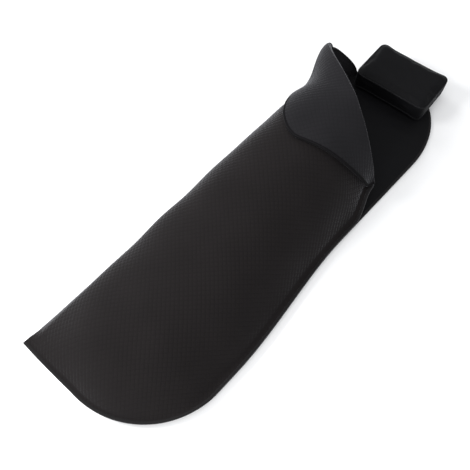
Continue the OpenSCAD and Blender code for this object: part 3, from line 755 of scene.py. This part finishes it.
# Flap: round the end of the fold at the peak, down its side, and along the free edge
start = int(np.argmax(has_fold))
turn = (fold_top[:, start] + fold_under[:, start]) / 2
turn_n = unit(fold_top[:, start] - fold_under[:, start])
turn_o = np.repeat(-unit(run[start])[None, :], FOLD_ROWS, 0)
edge_p = seat(edge_i, edge_k, flap_gap(edge_i, edge_k) + COVER_T / 2, True)
edge_n = bilinear(over_n, edge_k, edge_i)
inside_flap = seat(np.array([peak_col + 55]), np.array([1430 / STEP]), [FLAP_GAP], True)
edge_p, edge_n = resample(edge_p[2:], TAPE_STEP, edge_n[2:])
edge_o = rim_frame(edge_p, edge_n, inside_flap)
tape_p = np.concatenate([turn, edge_p])
tape_n = np.concatenate([turn_n, edge_n])
tape_o = np.concatenate([turn_o, edge_o])
tape_p, tape_n, tape_o = resample(tape_p, TAPE_STEP, tape_n, tape_o)
tape_n, tape_o = unit(blur(tape_n, 2, 0)), unit(blur(tape_o, 3, 0))
tape_p = blur(tape_p, 1.5, 0)
flap_binding = sweep("flap_binding", tape_p - tape_o * (TAPE_IN - TAPE_OUT), tape_o, tape_n,
                     TAPE_IN, TAPE_H)
# The flap's tape carries painted shade: it is darkened to show the gap under the free edge
paint(flap_binding, FLAP_TAPE_PAINTED_SHADE)
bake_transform(flap_binding)
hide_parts("flap_edge_binding")

# ---------------------------------------------------------------- mat
# The notch for the inlet, the body's inset within the tape, and the spacing of its rows
NOTCH_X, NOTCH_HALF, NOTCH_Y = HEAD_W / 2, 22.3, MAT_L - BINDING - 30.3
MAT_INSET, MAT_ROW, UNDERSIDE, CREASE_ROOM = 4.0, 7.0, 0.15, 0.6
# Soft creases where the lining shows: from where, over what length, their height, and their calm rim
SHOWN_Y, SHOWN_L, CREASE_H, CREASE_RIM, CREASE_L = 1150, 200, 0.55, 8, 40
corner_x = SLANT_X + FOOT_R * np.sin(np.linspace(0, math.pi / 2, 40))
taper_x = open_edge(np.linspace(TAPER_START, TAPER_END, 30))
arch_x = HEAD_W / 2 + HEAD_W / 2 * np.cos(np.linspace(0, math.pi, 90))
notch_x = NOTCH_X + NOTCH_HALF * np.array([-1.001, -1, 1, 1.001])
mat_x = np.unique(np.round(np.concatenate([corner_x, taper_x, arch_x, notch_x]), 2))


def mat_head(x):
    """Head-side limit of the mat at x: the arch, the notch for the inlet, or the tapering side."""
    half = HEAD_W / 2
    top = ARCH_Y + HEAD_ARCH * np.sqrt(np.clip(1 - ((x - half) / half) ** 2, 0, 1))
    y_fine = np.linspace(TAPER_START, TAPER_END, 400)
    top = np.where(x > HEAD_W, np.interp(-x, -open_edge(y_fine), y_fine), top)
    return np.where(np.abs(x - NOTCH_X) <= NOTCH_HALF, np.minimum(top, NOTCH_Y), top)


mat_lo = foot_edge(mat_x)
mat_hi = mat_head(mat_x)
mat_rows = np.clip(np.arange(0, MAT_L + MAT_ROW, MAT_ROW)[:, None], mat_lo[None, :], mat_hi[None, :])
mat_cols = mat_x[None, :] + 0 * mat_rows
centre = np.array([FOOT_W / 2, MAT_L / 2])
inset = np.stack([mat_cols, mat_rows], -1)
inset = centre + (inset - centre) * (1 - MAT_INSET / np.array([FOOT_W / 2, MAT_L / 2]))
notch_zone = (np.abs(mat_cols - NOTCH_X) < NOTCH_HALF + 1) & (mat_rows > NOTCH_Y - 1)
inset[notch_zone] = np.stack([mat_cols, mat_rows], -1)[notch_zone]
shown = smooth((mat_rows - SHOWN_Y) / SHOWN_L)
distance = np.minimum(mat_cols - (HEAD_W / 2 - arch(mat_rows)), HEAD_W / 2 + arch(mat_rows) - mat_cols)
creases = ripple(mat_cols, mat_rows, 7, 45, 150, waves) * CREASE_H * shown
creases = creases * smooth((distance - CREASE_RIM) / CREASE_L)
mat_top = np.concatenate([inset, (MAT_T - CREASE_ROOM + np.minimum(creases, CREASE_H))[..., None]], -1)
mat_top[notch_zone, 2] = MAT_T
mat_low = np.concatenate([inset, np.full(inset.shape[:2] + (1,), UNDERSIDE)], -1)
mat_uv = np.stack([mat_cols, mat_rows], -1) / (SQUARE * math.sqrt(2))
mat_pad = closed_sheet("mat_pad", mat_top, mat_low, mat_uv)
paint(mat_pad, LINING, OUTER)
split_materials(mat_pad, kept_quads(*mat_top.shape[:2], mat_top))
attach(mat_pad, "mat")
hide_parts("mat_base_fabric", "mat_wadding", "mat_reflective_film", "mat_heater_felt",
            "mat_lining")


def mat_outline(side):
    """Line along the mat's edge, from the fold's foot corner or its head end to the inlet."""
    if side < 0:
        a = np.linspace(math.pi, math.pi / 2, 120)
        p = np.stack([HEAD_W / 2 + HEAD_W / 2 * np.cos(a), ARCH_Y + HEAD_ARCH * np.sin(a)], -1)
        p = np.concatenate([[[0, ARCH_Y - 40]], p])  # starts beside the fold, under the cover
    else:
        x = np.linspace(0, SLANT_X, 30)
        a = np.linspace(0, math.pi / 2, 60)[1:]
        y = np.linspace(FOOT_R, ARCH_Y, 90)[1:]
        b = np.linspace(0, math.pi / 2, 120)[1:]
        p = np.concatenate([
            np.stack([x, foot_edge(x)], -1),
            np.stack([SLANT_X + FOOT_R * np.sin(a), FOOT_R - (FOOT_R - FOOT_SLANT) * np.cos(a)], -1),
            np.stack([open_edge(y), y], -1),
            np.stack([HEAD_W / 2 + HEAD_W / 2 * np.cos(b), ARCH_Y + HEAD_ARCH * np.sin(b)], -1)])
    keep = (np.abs(p[:, 0] - NOTCH_X) > NOTCH_HALF + 0.5) | (p[:, 1] < ARCH_Y)
    return np.concatenate([p[keep], np.full((int(keep.sum()), 1), MAT_T / 2)], 1)


up = np.array([[0.0, 0.0, 1.0]])
MAT_TAPE_IN, MAT_TAPE_STEP, INSIDE_MAT = 6.0, 6.0, np.array([[270.0, 900.0, 0]])
for name, side in (("mat_binding", 1), ("mat_head_binding", -1)):
    line = resample(mat_outline(side), MAT_TAPE_STEP)[0]
    upward = np.repeat(up, len(line), 0)
    outward = rim_frame(line, upward, INSIDE_MAT)
    tape = sweep(name, line - outward * MAT_TAPE_IN, outward, upward, MAT_TAPE_IN, MAT_T / 2)
    paint(tape, TAPE)
    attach(tape, "mat")
    if side > 0:
        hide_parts("mat_edge_binding")

# ---------------------------------------------------------------- fold along the side
# Its heights, where its lower part lies, how far its upper part is sunk in the cover's face, and its
# thickness; its rows are 5 mm apart, from 3 mm past the foot edge to 15 mm short of the round head end
profile_z = np.array([0.6, 1.2, 3.0, 6.5, 10.5, 14.0, 18.0, 23.0, 28.0, 34.0, 41.0, 48.0])
low_x = np.array([3.2, 1.4, 0.1, -0.6, -0.9, -0.9, -0.9])
FOLD_SUNK, FOLD_T, WALL_W = 0.35, 2.6, 30
fold_y = np.arange(3.0, ARCH_Y - 15, 5.0)
outer_rows, inner_rows = [], []
for y in fold_y:
    wall = seat(np.linspace(0, WALL_W, 61), np.full(61, y / STEP), np.full(61, -FOLD_SUNK))
    order = np.argsort(wall[:, 2])
    wall_x = np.interp(profile_z, wall[order, 2], wall[order, 0])
    top_z = min(profile_z[-1], wall[-1, 2] - 2)
    x = np.concatenate([low_x, wall_x[len(low_x):]])
    outer_rows.append(np.stack([x, np.full(len(x), y), np.minimum(profile_z, top_z)], -1))
    inner_rows.append(outer_rows[-1] + np.array([FOLD_T, 0, 0]))
outer_rows, inner_rows = np.array(outer_rows), np.array(inner_rows)
fold_uv = np.stack([profile_z[None, :] + 0 * fold_y[:, None],
                    fold_y[:, None] + 0 * profile_z[None, :]], -1) / (STEP * CELLS)
fold = closed_sheet("fold_side", outer_rows, inner_rows, fold_uv)
fix_outside(fold)
paint(fold, OUTER)
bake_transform(fold)
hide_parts("fold_roll")

# ---------------------------------------------------------------- pillow
low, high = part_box("pillow_cover")
PILLOW_TURN = math.radians(4)
# The simulation starts from a block that is smaller by SWELL
PILLOW_SIZE, SWELL = np.array([350.0, 240.0, 90.0]), 8
# The hollow a head has left: its depth, half sizes and place; then the pinch of the long sides
HOLLOW, HOLLOW_A, HOLLOW_B, HOLLOW_AT, PINCH = 9.0, 95, 75, 5, 0.028
# The flat for the zipper: half length, half height, the side it is on, and its depth in the side
ZIP_HALF, ZIP_HIGH, ZIP_SIDE, ZIP_IN, WRINKLE = 150, 26, 80, 0.2, 0.7
# Piping: its rings' heights and half sizes, how square they are, its radius and how proud it stands
PIPING_Z, PIPING_A, PIPING_B, SQUARENESS, PIPING_R, PIPING_OUT = 38.0, 176, 121, 0.3, 2.2, 0.8
pillow_centre = (np.array(low) + np.array(high)) / 2 * 1000
turn_c, turn_s = math.cos(PILLOW_TURN), math.sin(PILLOW_TURN)


def pillow_world(p):
    """Points in the pillow's own millimetres, in the fold's coordinates."""
    x, y = p[..., 0] * turn_c - p[..., 1] * turn_s, p[..., 0] * turn_s + p[..., 1] * turn_c
    return np.stack([x, y, p[..., 2]], -1) + pillow_centre - ORIGIN


def block(size, spacing, corner, edge):
    """Rounded block as a closed grid of quads: a cube pushed onto a rounded box."""
    half = np.array(size) / 2
    counts = [max(4, int(s / spacing)) for s in size]
    points, faces = [], []
    for axis in range(3):
        for sign in (-1, 1):
            u_axis, v_axis = (axis + 1) % 3, (axis + 2) % 3
            u = np.linspace(-1, 1, counts[u_axis] + 1)
            v = np.linspace(-1, 1, counts[v_axis] + 1)
            grid = np.zeros((len(v), len(u), 3))
            grid[..., u_axis], grid[..., v_axis] = u[None, :], v[:, None]
            grid[..., axis] = sign
            faces.append(quads(len(v), len(u), len(points) and sum(map(len, points)), sign < 0))
            points.append(grid.reshape(-1, 3) * half)
    points = np.concatenate(points)
    core = np.clip(points, [-(half[0] - corner), -(half[1] - corner), -(half[2] - edge)],
                   [half[0] - corner, half[1] - corner, half[2] - edge])
    gap = points - core
    flat = np.linalg.norm(gap[:, :2], axis=1, keepdims=True)
    plan = core[:, :2] + gap[:, :2] / np.maximum(flat, 1e-9) * np.minimum(flat, corner)
    points = np.concatenate([plan, points[:, 2:]], 1)
    centre_p = np.concatenate([plan - unit(plan - core[:, :2]) * np.minimum(edge, flat), core[:, 2:]], 1)
    away = points - centre_p
    size_now = np.linalg.norm(away, axis=1, keepdims=True)
    points = centre_p + away / np.maximum(size_now, 1e-9) * np.minimum(size_now, edge)
    return points, np.concatenate(faces).tolist()


def simulate(obj, voxel, pressure, cap, frames=20):
    """Inflates a closed mesh as cloth, with each point held within cap of where it began."""
    bpy.context.view_layer.objects.active = obj
    remesh = obj.modifiers.new("remesh", "REMESH")
    remesh.mode, remesh.voxel_size = "VOXEL", voxel
    bpy.ops.object.modifier_apply(modifier="remesh")
    before = np.array([v.co for v in obj.data.vertices])
    cloth = obj.modifiers.new("cloth", "CLOTH")
    cloth.settings.quality = 6
    cloth.settings.mass = 0.25
    cloth.settings.tension_stiffness = cloth.settings.compression_stiffness = 12
    cloth.settings.bending_stiffness = 0.35
    cloth.settings.use_pressure = True
    cloth.settings.uniform_pressure_force = pressure
    cloth.settings.effector_weights.gravity = 0
    cloth.point_cache.frame_end = frames
    for number in range(1, frames + 1):
        scene.frame_set(number)
    result = obj.evaluated_get(bpy.context.evaluated_depsgraph_get())
    after = np.array([v.co for v in result.data.vertices])
    scene.frame_set(1)
    obj.modifiers.remove(cloth)
    move = after - before
    size = np.linalg.norm(move, axis=1, keepdims=True)
    after = before + move * np.minimum(1, cap / np.maximum(size, 1e-9))
    obj.data.vertices.foreach_set("co", after.astype(np.float32).ravel())
    obj.data.update()


points, faces = block(PILLOW_SIZE - SWELL, spacing=12, corner=30, edge=14)
pillow = mesh_object("pillow", points - ORIGIN, faces)
fix_outside(pillow)
simulate(pillow, voxel=0.005, pressure=4.0, cap=0.006)


def pillow_shape(p):
    """The hollow where a head has lain, the sides' pinch, the flats below and at the zipper, wrinkles."""
    half = PILLOW_SIZE / 2
    x, y, z = p[:, 0] / half[0], p[:, 1] / half[1], p[:, 2] / half[2]
    hollow = np.exp(-((p[:, 0] / HOLLOW_A) ** 2 + ((p[:, 1] + HOLLOW_AT) / HOLLOW_B) ** 2))
    p = p.copy()
    p[:, 2] -= HOLLOW * (hollow * np.clip(z, 0, 1))
    p[:, 1] *= 1 - PINCH * (1 - np.clip(np.abs(x), 0, 1) ** 2) * np.abs(y)
    p[:, 2] = np.clip(p[:, 2], -half[2] + 0.4, half[2] + 3)
    limit = half[:2] + 2
    p[:, 0] = np.clip(p[:, 0], -limit[0], limit[0])
    head_side = p[:, 1] > ZIP_SIDE
    zone = smooth((ZIP_HALF - np.abs(p[:, 0])) / 20) * smooth((ZIP_HIGH - np.abs(p[:, 2])) / 10)
    flat = mix(np.minimum(p[:, 1], half[1] + 2), half[1] - ZIP_IN, zone * head_side)
    p[:, 1] = np.where(head_side, flat, p[:, 1])
    wave = ripple(p[:, 0], p[:, 1] + p[:, 2] * 1.3, 6, 40, 120, np.random.default_rng(3))
    p[:, 2] += WRINKLE * wave * np.clip(z, 0, 1)
    return p


local = np.array([v.co for v in pillow.data.vertices]) * 1000
local = pillow_shape(local)
pillow.data.vertices.foreach_set("co", world(pillow_world(local)).astype(np.float32).ravel())
pillow.data.update()
finer = pillow.modifiers.new("finer", "SUBSURF")
finer.levels = finer.render_levels = 1
bpy.context.view_layer.objects.active = pillow
bpy.ops.object.modifier_apply(modifier="finer")
pillow.data.shade_smooth()
paint(pillow, LINING)
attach(pillow, "pillow")
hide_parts("pillow_cover", "pillow_foam")

# Piping round the pillow's top and bottom edges, laid on its surface
bpy.context.view_layer.update()
tree = BVHTree.FromObject(pillow, bpy.context.evaluated_depsgraph_get())
ring_a = np.linspace(0, 2 * np.pi, 181)[:-1]
c, s = np.cos(ring_a), np.sin(ring_a)
for name, z in (("pillow_piping_top", PIPING_Z), ("pillow_piping_bottom", -PIPING_Z)):
    plan = np.stack([PIPING_A * np.sign(c) * np.abs(c) ** SQUARENESS,
                     PIPING_B * np.sign(s) * np.abs(s) ** SQUARENESS, np.full(180, z)], -1)
    plan = resample(np.concatenate([plan, plan[:1]]), 5.0)[0][:-1]
    aim = world(pillow_world(plan))
    hit = [tree.find_nearest(Vector(q)) for q in aim]
    ring = np.array([h[0] for h in hit]) * 1000 - ORIGIN
    ring = np.concatenate([blur(ring, 1.5, 0), ring[:1]])
    ring_n = np.array([h[1] for h in hit])
    ring_n = np.concatenate([ring_n, ring_n[:1]])
    tangent = unit(np.gradient(ring, axis=0))
    side_n = unit(np.cross(tangent, ring_n))
    piping = sweep(name, ring + ring_n * PIPING_OUT, ring_n, side_n, PIPING_R, PIPING_R,
                   power=1.0, sides=10)
    paint(piping, THREAD)
    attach(piping, "pillow")

# Zipper tape: half of its section, from the middle out, gives its raised cords and stitching
TAPE_HALF, TAPE_FACE, TAPE_BACK = 125, 120, 119.3
half_z = np.array([2.8, 3.4, 4.2, 7.8, 8.6, 9.6, 10.4, 11.6, 12])
half_h = np.array([0.95, 0.8, 0.35, 0.35, 0.75, 0.35, 0.35, 0.35, 0.1])
tape_z, height = np.concatenate([-half_z[::-1], half_z]), np.concatenate([half_h[::-1], half_h])
tape_x = np.linspace(-TAPE_HALF, TAPE_HALF, 84)
front = np.stack([tape_x[:, None] + 0 * tape_z, TAPE_FACE + height[None, :] + 0 * tape_x[:, None],
                  tape_z[None, :] + 0 * tape_x[:, None]], -1)
back = front.copy()
back[..., 1] = TAPE_BACK
tape_uv = np.stack([front[..., 0], front[..., 2]], -1) / SQUARE
zipper_tape = closed_sheet("zipper_tape", pillow_world(front), pillow_world(back), tape_uv)
fix_outside(zipper_tape)
paint(zipper_tape, HOOK)
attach(zipper_tape, "pillow")
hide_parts("pillow_zipper_tape")

# ---------------------------------------------------------------- stage and light
FLOOR, FLOOR_Z = 9, -0.0005
floor_mesh = bpy.data.meshes.new("floor")
floor_mesh.from_pydata([(x * FLOOR, y * FLOOR, FLOOR_Z) for x, y in ((-1, -1), (1, -1), (1, 1), (-1, 1))],
                       [], [(0, 1, 2, 3)])
floor = bpy.data.objects.new("floor", floor_mesh)
scene.collection.objects.link(floor)
floor_material, _, _ = new_material("floor", (0.93, 0.93, 0.935), 0.9, specular=0.1)
floor_mesh.materials.append(floor_material)

world_light = bpy.data.worlds.new("studio")
scene.world = world_light
world_light.use_nodes = True
background = world_light.node_tree.nodes["Background"]
background.inputs["Color"].default_value = (0.97, 0.985, 1.0, 1)
background.inputs["Strength"].default_value = 0.64


def area_light(name, location, target, size, power):
    """Round soft light aimed at a target, with its size in metres and its power in watts."""
    data = bpy.data.lights.new(name, "AREA")
    data.shape, data.size, data.energy = "DISK", size, power
    obj = bpy.data.objects.new(name, data)
    scene.collection.objects.link(obj)
    obj.location = location
    obj.rotation_euler = (Vector(target) - Vector(location)).to_track_quat("-Z", "Y").to_euler()


area_light("key", (-2.1, -1.5, 1.8), (0, -0.1, 0.1), 1.3, 92)
area_light("top", (0.2, -0.4, 3.4), (0, 0, 0.1), 3.4, 36)
area_light("foot", (0.9, -2.7, 1.2), (0, -0.4, 0.05), 1.4, 38)
area_light("rim", (-2.5, 1.3, 1.3), (0, 0.3, 0.1), 1.0, 16)
scene.view_settings.view_transform = "Standard"
